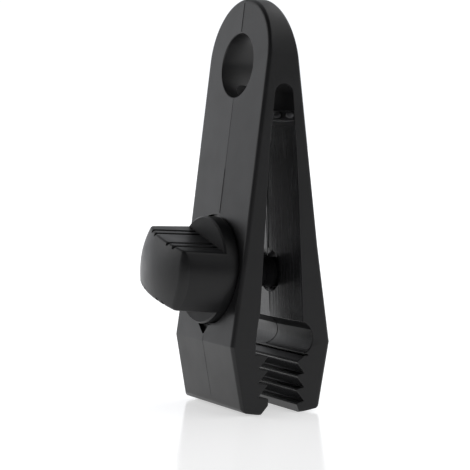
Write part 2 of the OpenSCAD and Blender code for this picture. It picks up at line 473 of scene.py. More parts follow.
# %% The hole and the seat in the front leg
shoulder_radius = 5.2 * MM
shoulder_room = 0.15 * MM
flange_radius = 11.4 * MM
seat_room = 0.4 * MM
seat_sink = 0.6 * MM
broken = 0.25 * MM
seat_steps = 128
spread = (knee_thickness - eye_thickness) / 2 / knee_depth
straight_face = eye_thickness / 2 + spread * screw_depth
face_reach = straight_face / (math.cos(screw_tilt) + spread * math.sin(screw_tilt))
seat_reach = face_reach - seat_sink
hole_radius = shoulder_radius + shoulder_room
leg_inside = inner_half(-screw_depth)
hole = [(hole_radius + 4 * broken, 0), (hole_radius + 4 * broken, leg_inside - 3 * broken)]
hole += [(hole_radius, leg_inside + broken), (hole_radius, knee_thickness)]
carve(moulding, turned("shoulder_hole", hole), "DIFFERENCE")
seat = [(flange_radius + seat_room, seat_reach), (flange_radius + seat_room, knee_thickness)]
carve(moulding, turned("flange_seat", seat, seat_steps), "DIFFERENCE")
print("seat of the flange from the middle, mm:", round(seat_reach / MM, 3))

# %% [markdown]
# Two marks break the rim of the seat: a small pointed notch below it and a torn nick above it. A sculpting
# brush could make them, but a short prism cut from an outline in the front view gives the same crisp edges,
# and its depth is one named value.

# %% Notch and nick at the seat
mark_depth = 0.9 * MM
notch_drop = 2.1 * MM
notch_left = -3.2 * MM
notch_right = 1.8 * MM
notch_point = -0.4 * MM
nick_overlap = 0.8 * MM
nick_shape = [(-5.6, 0), (-0.6, 0), (-0.9, 1.25), (-3.0, 1.1), (-4.9, 0.8)]


def cut_mark(name, outline, height):
    """Cuts a mark into the front face from its outline in the front view."""
    depths = (-outer_half(height) + mark_depth, -knee_thickness)
    carve(moulding, loft(name, [[(x, y, z) for x, z in outline] for y in depths]), "DIFFERENCE")


notch_top = -screw_depth - flange_radius + seat_reach * math.sin(screw_tilt)
notch_low = notch_top - notch_drop
notch = [(notch_left, notch_top), (notch_right, notch_top), (0, notch_low), (notch_point, notch_low)]
cut_mark("notch", notch, notch_top)
nick_low = notch_top + 2 * flange_radius - nick_overlap
cut_mark("nick", [(x * MM, nick_low + z * MM) for x, z in nick_shape], nick_low)
print("heights of the notch's point and the nick, mm:", round(notch_low / MM, 2), round(nick_low / MM, 2))

# %% [markdown]
# The rear leg is the screw's nut. Its hole could lean with the screw, but the pin that shaped it was drawn
# straight out to the rear, so it is level. It is wide enough for the thread and opened at both ends.

# %% The hole in the rear leg
nut_radius = 3.95 * MM
level_axis = Matrix.Translation((0, 0, -screw_depth)) @ Matrix.Rotation(-math.pi / 2, 4, "X")
rear_face = outer_half(-screw_depth)
nut = [(nut_radius + 4 * broken, 0), (nut_radius + 4 * broken, leg_inside - 3 * broken)]
nut += [(nut_radius, leg_inside + broken), (nut_radius, rear_face - 2 * broken)]
nut += [(nut_radius + 2 * broken, rear_face + broken), (nut_radius + 2 * broken, knee_thickness)]
carve(moulding, turned("nut_hole", nut, round_steps, level_axis), "DIFFERENCE")
print("faces of the moulding with its holes:", len(moulding.data.polygons))

# %% [markdown]
# On the real clip the necks under the eye bend, and each leg swings a few degrees. The moulding is cut
# through the head's middle plane into a front and a rear half, which stay shut there because the head doesn't
# move.
# Extra rows of edges round the necks give a bend something to curve.

# %% Front and rear halves that can bend
bend_start = 8.0 * MM
bend_rows = 10


def cut_plane(part, place, normal, clear_outer=False):
    """Cuts all of a bmesh along a plane."""
    everything = part.verts[:] + part.edges[:] + part.faces[:]
    bmesh.ops.bisect_plane(
        part, geom=everything, dist=near, plane_co=place, plane_no=normal, clear_outer=clear_outer
    )


def half_of(source, name, side):
    """The part of the moulding on one side of the middle plane, closed and ready to bend."""
    part = bmesh.new()
    part.from_mesh(source.data)
    cut_plane(part, (0, 0, 0), (0, -side, 0), clear_outer=True)
    rim = [e for e in part.edges if e.is_boundary]
    bmesh.ops.edgenet_fill(part, edges=rim)
    for i in range(bend_rows + 1):
        cut_plane(part, (0, 0, -bend_start - (bend_end - bend_start) * i / bend_rows), (0, 0, 1))
    open_edges = sum(1 for e in part.edges if len(e.link_faces) != 2)
    print(name, "faces:", len(part.faces), "open edges:", open_edges)
    return new_piece(name, part)


front_half = half_of(moulding, "moulding_front_half", -1)
rear_half = half_of(moulding, "moulding_rear_half", 1)
bpy.data.objects.remove(moulding)

# %% [markdown]
# The two mould halves met in the plane down the middle of the clip, and they left a parting line: a hair-thin
# ridge over the head, the outer faces and the inside of the rear leg. It could be a bump in the material, but
# a real ridge catches the light from every side and is part of the mesh. It is swept along the side view as a
# low roof, sunk a little into the face below it.

# %% Ridge of a parting line
line_width = 0.22 * MM
line_height = 0.08 * MM
line_sink = 0.1 * MM
ridge_foot_share = 0.5
ridge_top_share = 0.2


def parting_line(name, path, height=line_height, drift=0):
    """A low ridge along a path in the side view, raised to the left of its way.

    Its first end may drift from the middle of the clip.
    """
    roof = [(-ridge_foot_share, -line_sink), (-ridge_top_share, height)]
    roof += [(ridge_top_share, height), (ridge_foot_share, -line_sink)]
    sections = []
    for i, (y, z) in enumerate(path):
        middle = drift * (1 - i / (len(path) - 1)) ** 2
        before = path[max(i - 1, 0)]
        after = path[min(i + 1, len(path) - 1)]
        along = Vector((after[0] - before[0], after[1] - before[1])).normalized()
        out = Vector((-along.y, along.x))
        section = []
        for x, lift in roof:
            section.append((middle + x * line_width, y + out.x * lift, z + out.y * lift))
        sections.append(section)
    return loft(name, sections)


def outer_path(z_from, z_to, side, steps=12):
    """Points along an outer face from one height to another."""
    heights = [z_from + (z_to - z_from) * i / steps for i in range(steps + 1)]
    return [(side * outer_half(z), z) for z in heights]


def join(piece, extras):
    """Adds closed extra shells to a piece's mesh."""
    whole = bmesh.new()
    whole.from_mesh(piece.data)
    for extra in extras:
        whole.from_mesh(extra.data)
        bpy.data.objects.remove(extra)
    whole.to_mesh(piece.data)
    whole.free()
    return piece


print("width and height of the ridge, mm:", line_width / MM, line_height / MM)

# %% [markdown]
# On the front face the line is clear above the seat and over the eye, and faint just under the eye and below
# the seat. On the rear its height lies between the two. The paths in front run upwards and those behind run
# downwards, so that each ridge is raised outwards, and they stop just short of the eye, the seat, the holes
# and the soles.

# %% Parting lines on the outer faces
long_steps = 24
stop = 0.3 * MM
faint_share = 0.35
rear_share = 0.6
faint_end = -22 * MM
foot_end = -foot_depth + foot_rounding + 3 * stop
seat_top = -screw_depth + flange_radius + seat_room + face_reach * math.sin(screw_tilt)
head_top = head_rise + head_radius
front_lines = [
    outer_path(seat_top + stop, faint_end, -1, long_steps),
    outer_path(eye_radius + stop, head_top - 3 * stop, -1),
]
faint_lines = [
    outer_path(faint_end, -eye_radius - stop, -1, long_steps),
    outer_path(-knee_depth, notch_low - stop, -1),
    outer_path(foot_end, -knee_depth, -1),
]
rear_lines = [
    outer_path(-eye_radius - stop, -screw_depth + nut_radius + 4 * stop, 1, long_steps),
    outer_path(head_top - 3 * stop, eye_radius + stop, 1),
    outer_path(-screw_depth - nut_radius - 4 * stop, -knee_depth, 1),
    outer_path(-knee_depth, foot_end, 1),
]
print("paths in front, faint and behind:", len(front_lines), len(faint_lines), len(rear_lines))

# %% [markdown]
# Inside the rear leg the line follows the drafted inner face and the round of the hem channel. On its way
# down the channel it wanders off to one side, as it does in the photograph, so its path carries a drift.

# %% Parting lines inside the rear leg
seam_heights = (-53, -50, -40, -30, -26)
seam_drift = -4 * MM
seam_start = -58
seam_end = 60
seam_steps = 14
seam = [(inner_half(z * MM) - draft_at(z * MM), z * MM) for z in seam_heights]
rear_lines.insert(0, seam)
channel_place = (channel_centre, -channel_depth)
round_seam = []
for i, (y, z) in enumerate(arc(channel_place, channel_radius, seam_start, seam_end, seam_steps)):
    aside = abs(seam_drift) * (1 - i / seam_steps) ** 2
    round_seam.append((y - draft_at(z) * (1 - aside / draft_width), z))
join(front_half, [parting_line("front_line", path) for path in front_lines])
join(front_half, [parting_line("faint_line", path, faint_share * line_height) for path in faint_lines])
join(rear_half, [parting_line("rear_line", path, rear_share * line_height) for path in rear_lines])
join(rear_half, [parting_line("channel_line", round_seam, line_height, seam_drift)])
print("parting lines:", len(front_lines) + len(faint_lines) + len(rear_lines) + 1)

# %% [markdown]
# Two lumps of flash and a low lip are left on the rear neck, where the slide that shaped the slot's end met
# the main mould, and two nubs stand on top of the head, where the plastic came in. They could be sculpted,
# but at this size a flattened ball sunk in the face looks the same.


# %% Flash and gate marks
def bump(name, centre, size):
    """A flattened ball, its place and its half sizes in millimetres."""
    ball = bmesh.new()
    place = Matrix.Translation(Vector(centre) * MM) @ Matrix.Diagonal((*(Vector(size) * MM), 1))
    bmesh.ops.create_uvsphere(ball, u_segments=24, v_segments=12, radius=1, matrix=place)
    return new_piece(name, ball)


flash = [
    bump("lump", centre=(6.2, 2.55, -10.5), size=(1.5, 0.8, 0.75)),
    bump("lump", centre=(11.5, 2.55, -10.5), size=(1.4, 0.8, 0.75)),
    bump("lip", centre=(8.2, 2.65, -11.6), size=(4.7, 0.45, 0.36)),
]
gate = [bump("nub", centre=(0, 1.1, 14.1), size=(1.0, 0.55, 0.4))]
join(rear_half, flash + gate)
join(front_half, [bump("nub", centre=(0, -1.5, 14.05), size=(0.9, 0.5, 0.4))])
print("marks left by the mould:", len(flash) + len(gate) + 1)

# %% [markdown]
# The knob is a short round with two flats for the finger and thumb, slightly tapered so that it leaves the
# mould, and with a crowned end. Its round sides run on into the flange, whose front face only shows beside
# the flats. The crown is part of a large ball, so its height at any point follows from the ball's radius.

# %% Sizes of the knob
flange_thickness = 3.1 * MM
knob_root_radius = 11.59 * MM
knob_end_radius = 10.8 * MM
knob_half_flats = 6.8 * MM
lower_half_flats = 6.4 * MM
knob_length = 12.3 * MM
knob_overlap = 0.4 * MM
knob_turn = math.radians(-15)
flat_draft = 0.1 * MM
crown_rise = 2.4 * MM
crown_radius = (knob_end_radius**2 + crown_rise**2) / (2 * crown_rise)


def crown_height(p):
    """Height of the crowned end over the flange's seat at a point across the knob."""
    drop = crown_radius - math.sqrt(crown_radius**2 - p.length_squared)
    return knob_length + crown_rise - drop


print("radius of the crown, mm:", round(crown_radius / MM, 2))

# %% [markdown]
# Two pairs of grip grooves run along each flat. Cutting them with booleans would leave sharp lips, so their
# rounded section is drawn into the flat instead: the points of a flat dip into each groove on their way.

# %% A flat with its grip grooves
groove_places = (5.3 * MM, 3.1 * MM, -3.1 * MM, -5.3 * MM)
groove_depth = 0.6 * MM
groove_half = 0.53
groove_section = ((groove_half, 0), (0.46, 0.02), (0.4, 0.07), (0.36, 0.16))
groove_section += ((0.33, 0.44), (0.29, 0.54), (0.2, 0.6))
flat_steps = (4, 2, 6, 2, 4)


def flat_points(reach_u):
    """Points along one flat from +u to -u, as (u, depth), with the grooves drawn into it."""
    lips = [p + side * MM for p in groove_places for side in (groove_half, -groove_half)]
    edges = [reach_u] + lips + [-reach_u]
    points = []
    for i, steps in enumerate(flat_steps):
        start, end = edges[2 * i], edges[2 * i + 1]
        points += [(start + (end - start) * k / steps, 0) for k in range(1, steps)]
        if i < len(groove_places):
            middle = groove_places[i]
            points += [(middle + u * MM, v * MM) for u, v in groove_section]
            points += [(middle - u * MM, v * MM) for u, v in reversed(groove_section)]
    return points


print("points along a flat:", len(flat_points(knob_end_radius)))

# %% [markdown]
# The knob is lofted from rings. Each ring is a circle cut by the two flats, with rounded corners. Beside each
# point it carries which way is outwards, how large the rounding of the knob's end is there, and how deep the
# groove is, so that the next step can shrink the ring over the end.

# %% Rings of the knob
corner_round = 1.0 * MM
end_round = 1.5 * MM
corner_end_round = 0.85 * MM
flat_end_round = 0.45 * MM
lower_end_round = 0.75 * MM
groove_end_cut = 0.25 * MM
side_steps = 12
bend_steps = 8


def half_ring(height, flat_here, flat_beyond, flat_rounding):
    """Half a ring: points, outward directions, rounding of the end there and depth of the groove."""
    share = height / knob_length
    radius = knob_root_radius + (knob_end_radius - knob_root_radius) * share
    half_flats = flat_here - flat_draft * share
    reach_u = math.sqrt((radius - corner_round) ** 2 - (half_flats - corner_round) ** 2)
    lean = math.atan2(half_flats - corner_round, reach_u)
    lean_beyond = math.asin((flat_beyond - flat_draft * share - corner_round) / (radius - corner_round))
    ring = []
    for i in range(side_steps + 1):
        angle = -lean_beyond + (lean + lean_beyond) * i / side_steps
        way = Vector((math.cos(angle), math.sin(angle)))
        from_middle = 2 * i / side_steps - 1
        rounding = corner_end_round + (end_round - corner_end_round) * (1 - from_middle**4)
        ring.append((way * radius, way, rounding, 0))
    corner = []
    centre = Vector((reach_u, half_flats - corner_round))
    for i in range(1, bend_steps + 1):
        angle = lean + (math.pi / 2 - lean) * i / bend_steps
        way = Vector((math.cos(angle), math.sin(angle)))
        rounding = corner_end_round + (flat_rounding - corner_end_round) * i / bend_steps
        corner.append((centre + way * corner_round, way, rounding, 0))
    flat = []
    for u, depth in flat_points(reach_u):
        rounding = flat_rounding - groove_end_cut * depth / groove_depth
        flat.append((Vector((u, half_flats)), Vector((0, 1)), rounding, depth))
    mirrored = []
    for p, way, rounding, depth in reversed(corner):
        mirrored.append((Vector((-p.x, p.y)), Vector((-way.x, way.y)), rounding, depth))
    return ring + corner + flat + mirrored


def knob_ring(height):
    """A whole ring: the half with the upper flat, and the half with the lower flat turned round."""
    upper = half_ring(height, knob_half_flats, lower_half_flats, flat_end_round)
    lower = half_ring(height, lower_half_flats, knob_half_flats, lower_end_round)
    return upper + [(-p, -way, rounding, depth) for p, way, rounding, depth in lower]


print("points in a ring of the knob:", len(knob_ring(knob_length)))

# %% [markdown]
# The rings run up the knob's length, draw in over the rounding of its end and then follow the crown to its
# middle. That keeps the rounding even, where a bevel on a crown cut by grooves would tear.

# %% Skin of the knob
length_rings = 6
rim_steps = 8
crown_inset = 0.08 * MM
crown_shares = (1, 0.86, 0.72, 0.58, 0.44, 0.3, 0.16, 0.05)


def knob_mesh(name):
    """The knob as rings along its length, over its rounded end and in to the middle of its crown."""
    place = on_screw @ Matrix.Rotation(knob_turn, 4, "Z")
    sections = []
    start = flange_thickness - knob_overlap
    for i in range(length_rings):
        height = start + (knob_length - start - end_round) * i / length_rings
        points = [p - way * depth for p, way, rounding, depth in knob_ring(height)]
        sections.append([(p.x, p.y, height) for p in points])
    rim = knob_ring(knob_length)
    for i in range(rim_steps + 1):
        angle = math.pi / 2 * i / rim_steps
        section = []
        for p, way, rounding, depth in rim:
            q = p - way * (depth + rounding * (1 - math.cos(angle)))
            section.append((q.x, q.y, crown_height(q) - rounding * (1 - math.sin(angle))))
        sections.append(section)
    inner = [p - way * (max(rounding, corner_end_round) + crown_inset) for p, way, rounding, depth in rim]
    for share in crown_shares:
        sections.append([(p.x * share, p.y * share, crown_height(p * share)) for p in inner])
    lifted = [[place @ Vector((x, y, z + seat_reach)) for x, y, z in section] for section in sections]
    print("knob rings:", len(sections))
    return loft(name, lifted)


knob = knob_mesh("knob")

# %% [markdown]
# Behind the knob sit a round flange, a plain shoulder that turns in the front leg, and the threaded shank
# that the rear leg takes. Blender's Screw modifier could wind the thread, but it would then have to be joined
# to its core. Here the thread is a ridge in the shank's own rings: on each ring the radius rises wherever the
# ring's angle and its place along the pitch agree. It fades out at both ends, and the tip is plain.

# %% Sizes of the shank and its thread
shoulder_past = 0.9 * MM
core_radius = 3.1 * MM
shank_radius = 3.15 * MM
crest_radius = 3.4 * MM
pitch = 2.5 * MM
crest_start = 0.2
crest_slope = 0.16
shoulder_reach = leg_inside - shoulder_past
shank_start = shoulder_reach - (shoulder_radius - shank_radius)
tip_reach = -outer_half(-screw_depth)
thread_low = -7.2 * MM
thread_room = 0.3 * MM
thread_high = shank_start - thread_room


def thread_lift(reach, angle):
    """Height of the thread over its core at a place on the shank."""
    phase = (reach / pitch - angle / (2 * math.pi)) % 1
    rise = min(1, max(0, (0.5 - abs(phase - 0.5) - crest_start) / crest_slope))
    fade = min(1, (thread_high - reach) / pitch, (reach - thread_low) / pitch)
    return (crest_radius - core_radius) * rise * max(0, fade)


print("thread turns:", round((thread_high - thread_low) / pitch, 1))

# %% [markdown]
# The rings of the shank start at the tip, follow the thread in fine rows and end on the flange. The flange's
# rear rim is rounded and its front rim has a flat chamfer, which shows as a bright line. A union then joins
# the knob on, so the thumbscrew is one closed mesh.

# %% Flange, shoulder and threaded shank
rim_edge = 0.22 * MM
rim_chamfer = 0.32 * MM
thread_start = 0.2 * MM
rim_rings = 5
thread_steps = 72
front_rim = seat_reach + flange_thickness
angles = [2 * math.pi * i / round_steps for i in range(round_steps)]


def rear_rim(radius, reach, size):
    """The rounded rear rim of the flange, as (radius, reach) pairs."""
    turns = [math.pi / 2 * i / rim_rings for i in range(rim_rings + 1)]
    return [(radius - size + size * math.sin(a), reach + size - size * math.cos(a)) for a in turns]


profile = [(shank_radius - 2 * rim_edge, tip_reach), (shank_radius, tip_reach + 2 * rim_edge)]
profile += [(shank_radius, thread_low - thread_start), (core_radius, thread_low)]
thread_rows = [thread_low + (thread_high - thread_low) * i / thread_steps for i in range(1, thread_steps)]
after_thread = [(core_radius, thread_high), (shank_radius, shank_start)]
after_thread += [(shoulder_radius, shoulder_reach), (shoulder_radius, seat_reach)]
after_thread += rear_rim(flange_radius, seat_reach, rim_edge)
after_thread += [(flange_radius, front_rim - rim_chamfer), (flange_radius - rim_chamfer, front_rim)]
after_thread += [(knob_half_flats / 2, front_rim)]
sections = [[(radius, a, reach) for a in angles] for radius, reach in profile]
sections += [[(core_radius + thread_lift(reach, a), a, reach) for a in angles] for reach in thread_rows]
sections += [[(radius, a, reach) for a in angles] for radius, reach in after_thread]
shank_rings = []
for section in sections:
    shank_rings.append([on_screw @ Vector((r * math.cos(a), r * math.sin(a), t)) for r, a, t in section])
thumbscrew = loft("thumbscrew_dressed", shank_rings)
carve(thumbscrew, knob, "UNION")
print("faces of the thumbscrew:", len(thumbscrew.data.polygons))

# %% [markdown]
# Smooth shading makes the facets of the rounds vanish, while edges over a set angle stay crisp. Weighted
# normals then lean the shading of each small rounding towards its large flat neighbours, so the flats look
# flat. On the halves the edges down the middle of the clip stay crisp too, because the two slopes of each
# inner face meet there.

# %% Shading of the pieces
crisp = math.radians(32)
normal_weight = 60
pieces = [front_half, rear_half, thumbscrew]
for piece in pieces:
    mesh = piece.data
    mesh.polygons.foreach_set("use_smooth", [True] * len(mesh.polygons))
    mesh.set_sharp_from_angle(angle=crisp)
    for edge in mesh.edges:
        if all(abs(mesh.vertices[i].co.x) < near for i in edge.vertices) and piece is not thumbscrew:
            edge.use_edge_sharp = True
    weighted_normals = piece.modifiers.new("weighted normals", "WEIGHTED_NORMAL")
    weighted_normals.keep_sharp = True
    weighted_normals.weight = normal_weight
print("shaded:", [piece.name for piece in pieces])

# %% [markdown]
# The plastic, probably nylon or polypropylene, came from a satin mould: it is nearly black, with a soft
# sheen, a fine grain and slight patches. An image could carry all that, but it would need an unwrapped mesh.
# A noise in the object's own metres stays the same size on each piece and runs on across the halves, so two
# small helpers make noises and the relief that comes from them.


# %% Noise and relief
def noise(nodes, links, where, scale, detail):
    """A noise texture read at a place, by its size and its number of finer layers."""
    texture = nodes.new("ShaderNodeTexNoise")
    texture.inputs["Scale"].default_value = scale
    texture.inputs["Detail"].default_value = detail
    links.new(where, texture.inputs["Vector"])
    return texture.outputs["Fac"]


def relief(nodes, links, height, strength, depth):
    """A bump made from a height."""
    raised = nodes.new("ShaderNodeBump")
    raised.inputs["Strength"].default_value = strength
    raised.inputs["Distance"].default_value = depth
    links.new(height, raised.inputs["Height"])
    return raised


print("helpers for the plastic:", noise.__name__, relief.__name__)

# %% [markdown]
# One function builds every finish, because the finishes differ only in tone, roughness, gloss and streaks.
# Broad patches vary the roughness, and a fine grain gives relief. Where a slide was drawn along the plastic
# it left streaks, made by stretching a second noise along the leg. They show as fine ridges and in the tone.

# %% Black moulded plastic
patch_scale = 160
patch_detail = 5
grain_scale = 2400
grain_detail = 3
grain_strength = 0.3
grain_depth = 0.03 * MM
streak_scale = (1800, 1800, 45)
streak_detail = 4
streak_depth = 0.08 * MM
noise_low = 0.3
noise_high = 0.7


def moulded_plastic(name, tones, roughness, gloss, streaks=0):
    """A satin black plastic with grain, uneven sheen and, where asked, drawn tool marks."""
    finish = bpy.data.materials.new(name)
    finish.use_nodes = True
    nodes = finish.node_tree.nodes
    links = finish.node_tree.links
    shader = nodes["Principled BSDF"]
    shader.inputs["Specular IOR Level"].default_value = gloss
    place = nodes.new("ShaderNodeTexCoord").outputs["Object"]
    patches = noise(nodes, links, place, patch_scale, patch_detail)
    tone = nodes.new("ShaderNodeValToRGB")
    for stop_here, position, colour in zip(tone.color_ramp.elements, (noise_low, noise_high), tones):
        stop_here.position = position
        stop_here.color = (*colour, 1)
    links.new(tone.outputs["Color"], shader.inputs["Base Color"])
    sheen = nodes.new("ShaderNodeMapRange")
    ends = ("From Min", "From Max", "To Min", "To Max")
    for socket, value in zip(ends, (noise_low, noise_high, *roughness)):
        sheen.inputs[socket].default_value = value
    links.new(patches, sheen.inputs["Value"])
    links.new(sheen.outputs["Result"], shader.inputs["Roughness"])
    grains = noise(nodes, links, place, grain_scale, grain_detail)
    grain = relief(nodes, links, grains, grain_strength, grain_depth)
    if not streaks:
        links.new(patches, tone.inputs["Fac"])
        links.new(grain.outputs["Normal"], shader.inputs["Normal"])
        return finish
    stretch = nodes.new("ShaderNodeMapping")
    stretch.inputs["Scale"].default_value = streak_scale
    links.new(place, stretch.inputs["Vector"])
    marks = noise(nodes, links, stretch.outputs["Vector"], 1, streak_detail)
    links.new(marks, tone.inputs["Fac"])
    drawn = relief(nodes, links, marks, streaks, streak_depth)
    links.new(grain.outputs["Normal"], drawn.inputs["Normal"])
    links.new(drawn.outputs["Normal"], shader.inputs["Normal"])
    return finish


print("grain about this wide, mm:", round(1 / grain_scale / MM, 2))

# %% [markdown]
# The faces of the clip don't shine alike in the photograph. The left half of the front face and the foot are
# a little brighter than the rest, and the wall of the eye and the hem channel brighter still. The legs' inner
# faces and the teeth look glossy, and the inner faces get a lighter tone than the same plastic elsewhere,
# which is painted light. The tooth tips, the slot's end and the shank look dull. The slot's end, the shank
# and the faces that look down over the hem channel also get a darker tone, which is painted shade, and the
# flash gets a paler tone than all of them, which is painted light. One finish for all would be simpler, but
# then the faces would run into each other. Each finish is one call: its tones, its range of roughness, its
# gloss and the strength of its streaks.

# %% Finishes of the clip
body_tones = ((0.006, 0.006, 0.0066), (0.0088, 0.0088, 0.0096))
# Lighter tones than the body's plastic: painted light on the faces between the legs, with the drawn streaks
# in them.
light_painted_inner_tones = ((0.017, 0.017, 0.018), (0.035, 0.035, 0.037))
# Darker tones than the body: painted shade for the slot's end, the shank and the undersides over the hem
# channel.
shade_painted_slot_tones = ((0.004, 0.004, 0.0045), (0.006, 0.006, 0.0066))
# Paler tones than the rest: painted light on the flash lumps and lip.
light_painted_flash_tones = ((0.05, 0.05, 0.053), (0.065, 0.065, 0.069))
satin = (0.32, 0.42)
dull = (0.55, 0.65)
body_plastic = moulded_plastic("black_body_plastic", body_tones, satin, gloss=0.35)
front_plastic = moulded_plastic("black_front_plastic", body_tones, satin, gloss=0.46)
light_painted_inner_plastic = moulded_plastic("black_drawn_light_painted_plastic", light_painted_inner_tones, (0.18, 0.25), gloss=0.6, streaks=0.34)
tooth_plastic = moulded_plastic("black_tooth_plastic", body_tones, (0.09, 0.15), gloss=0.6)
shade_painted_slot_plastic = moulded_plastic("black_shade_painted_slot_plastic", shade_painted_slot_tones, (0.7, 0.8), gloss=0.15)
channel_plastic = moulded_plastic("black_channel_plastic", body_tones, (0.3, 0.4), gloss=0.5, streaks=0.3)
eye_plastic = moulded_plastic("black_eye_plastic", body_tones, satin, gloss=0.55)
light_painted_flash_plastic = moulded_plastic("black_light_painted_flash_plastic", light_painted_flash_tones, (0.5, 0.6), gloss=0.3)
screw_plastic = moulded_plastic("black_screw_plastic", body_tones, satin, gloss=0.36)
grip_plastic = moulded_plastic("black_grip_plastic", body_tones, satin, gloss=0.29)
dull_plastic = moulded_plastic("black_dull_plastic", body_tones, dull, gloss=0.3)
print("finishes:", [finish.name for finish in bpy.data.materials if finish.name.startswith("black_")])

# %% [markdown]
# Which finish a face of the moulding gets follows from where it lies and which way it faces. Picking faces by
# hand would be quicker once, but wouldn't survive a change of shape. The slot's end and the faces between the
# legs come first, because they have the most finishes.

# %% Faces of the slot and the gap
slot_end = -9.6 * MM
arch_margin = 0.3 * MM
slot_margin = 0.5 * MM
gap_top = -13 * MM
gap_half = 8 * MM
overhang_top = -50 * MM
round_top = -54 * MM
round_low = -61 * MM
tip_margin = 0.25 * MM
slightly = 0.3
mostly = 0.5
inward = 0.55


def in_slot(c, n):
    """Whether a face lines the closed upper end of the slot, from its centre and its normal."""
    toward = Vector((0, -c.y, min(c.z, -slot_depth) - c.z))
    high_enough = slot_end < c.z < -slot_depth + slot_radius + arch_margin
    close_enough = abs(c.y) < slot_radius + slot_margin
    return high_enough and close_enough and n.dot(toward) > slightly * toward.length


def gap_finish(c, n):
    """The finish of a face between the legs, or None where no rule here holds."""
    in_channel = abs(c.y) > root_half + near and round_low < c.z < round_top
    # Faces that look down over the hem channel take the darker slot tone: painted shade under the overhang.
    if n.z < -mostly and -channel_depth < c.z < overhang_top:
        return shade_painted_slot_plastic
    if c.z < slit_low and abs(c.y) < tip_at(c.y) + tip_margin:
        return dull_plastic
    # The inner faces' lighter tone is painted light.
    if n.y * c.y < 0 and abs(n.y) > inward and not in_channel:
        return tooth_plastic if c.z < slit_low else light_painted_inner_plastic
    return channel_plastic if in_channel and abs(n.x) < mostly else None


gap_finishes = (shade_painted_slot_plastic, dull_plastic, tooth_plastic, light_painted_inner_plastic, channel_plastic)
print("finishes between the legs:", [finish.name for finish in gap_finishes])

# %% [markdown]
# The rest of the moulding sorts by simpler rules: the flash by its height, the wall of the eye by its radius,
# and the front by the way it faces. In Blender a mesh carries its finishes as a list of slots, and each face
# holds the number of one slot, so one function can dress any piece.

# %% Dressing the moulding
flash_end = -12.2 * MM
flash_least = 0.3 * MM
flash_rise = 0.05 * MM


def body_finish(face):
    """The finish that a face of the moulding gets."""
    c, n = face.center, face.normal
    slot_wall = slot_radius + (neck_half - slot_radius) * (-c.z - slot_depth) / (neck_depth - slot_depth)
    # Faces at the slot's closed end take the darker slot tone: painted shade.
    if in_slot(c, n):
        return shade_painted_slot_plastic
    # The flash's paler tone is painted light.
    if flash_end < c.z < slot_end and flash_least < c.y < slot_wall - flash_rise:
        return light_painted_flash_plastic
    if math.hypot(c.x, c.z) < eye_radius + near and abs(n.y) < slightly:
        return eye_plastic
    found = gap_finish(c, n) if c.z < gap_top and abs(c.y) < gap_half else None
    if found:
        return found
    on_front = n.y < -mostly and (c.x < 0 or c.z < -knee_depth)
    return front_plastic if on_front else body_plastic


def dress(piece, finishes, finish_of):
    """Gives a piece its finishes and each of its faces the one that a function picks."""
    piece.data.materials.clear()
    for finish in finishes:
        piece.data.materials.append(finish)
    for face in piece.data.polygons:
        face.material_index = finishes.index(finish_of(face))
    used = [face.material_index for face in piece.data.polygons]
    print(piece.name, "faces with each finish:", [used.count(i) for i in range(len(finishes))])


body_finishes = (body_plastic, front_plastic, light_painted_inner_plastic, shade_painted_slot_plastic)
body_finishes += (channel_plastic, eye_plastic, light_painted_flash_plastic, dull_plastic, tooth_plastic)
for half in (front_half, rear_half):
    dress(half, body_finishes, body_finish)

# %% [markdown]
# In the photograph the knob's crowned end is a little shinier than its sides and flats, and the front of the
# flange is matt. The shoulder and the shank hardly show, so they share the dull finish of the slot, with its
# darker tone of painted shade. The faces are sorted along the screw's own axis, because the screw leans.

# %% Finishes of the thumbscrew
along_side = 0.2
screw_finishes = (screw_plastic, grip_plastic, shade_painted_slot_plastic, dull_plastic)
to_screw = on_screw.inverted()


def screw_finish(face):
    """The finish that a face of the thumbscrew gets, from its place and slope along the screw's axis."""
    reach = (to_screw @ face.center).z
    along = abs((to_screw.to_3x3() @ face.normal).z)
    # The shoulder and the shank take the darker slot tone: painted shade inside the legs.
    if reach < seat_reach - near:
        return shade_painted_slot_plastic
    if abs(reach - front_rim) < near:
        return dull_plastic
    return grip_plastic if along < along_side else screw_plastic


dress(thumbscrew, screw_finishes, screw_finish)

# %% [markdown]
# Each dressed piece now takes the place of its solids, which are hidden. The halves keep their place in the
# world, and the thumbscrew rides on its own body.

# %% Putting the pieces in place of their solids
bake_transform(front_half)
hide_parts("eye_head", "front_leg")
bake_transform(rear_half)
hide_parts("eye_head", "rear_leg")
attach(thumbscrew, "screw")
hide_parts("thumbscrew")
print("pieces tied to bodies:", len(pieces))

# %% [markdown]
# The photograph is a product shot on white: the clip stands on a pale glossy floor that fades into the
# background. The floor is one large face. It glows a little by itself, which keeps it white all round without
# a light that would flatten the clip, and its low gloss gives the pale mirror image under the feet.

# %% Floor
floor_reach = 4.0
floor_white = (0.9, 0.9, 0.9, 1)
floor_roughness = 0.14
floor_gloss = 0.1
floor_glow = 0.53
floor_mesh = bmesh.new()
corners = [(-floor_reach, -floor_reach), (floor_reach, -floor_reach)]
corners += [(floor_reach, floor_reach), (-floor_reach, floor_reach)]
floor_mesh.faces.new([floor_mesh.verts.new((x, y, -foot_depth)) for x, y in corners])
floor = new_piece("floor", floor_mesh)
paper = bpy.data.materials.new("white_table")
paper.use_nodes = True
paper_shader = paper.node_tree.nodes["Principled BSDF"]
paper_shader.inputs["Base Color"].default_value = floor_white
paper_shader.inputs["Roughness"].default_value = floor_roughness
paper_shader.inputs["Specular IOR Level"].default_value = floor_gloss
paper_shader.inputs["Emission Color"].default_value = (1, 1, 1, 1)
paper_shader.inputs["Emission Strength"].default_value = floor_glow
floor.data.materials.append(paper)
print("height of the floor, mm:", -foot_depth / MM)

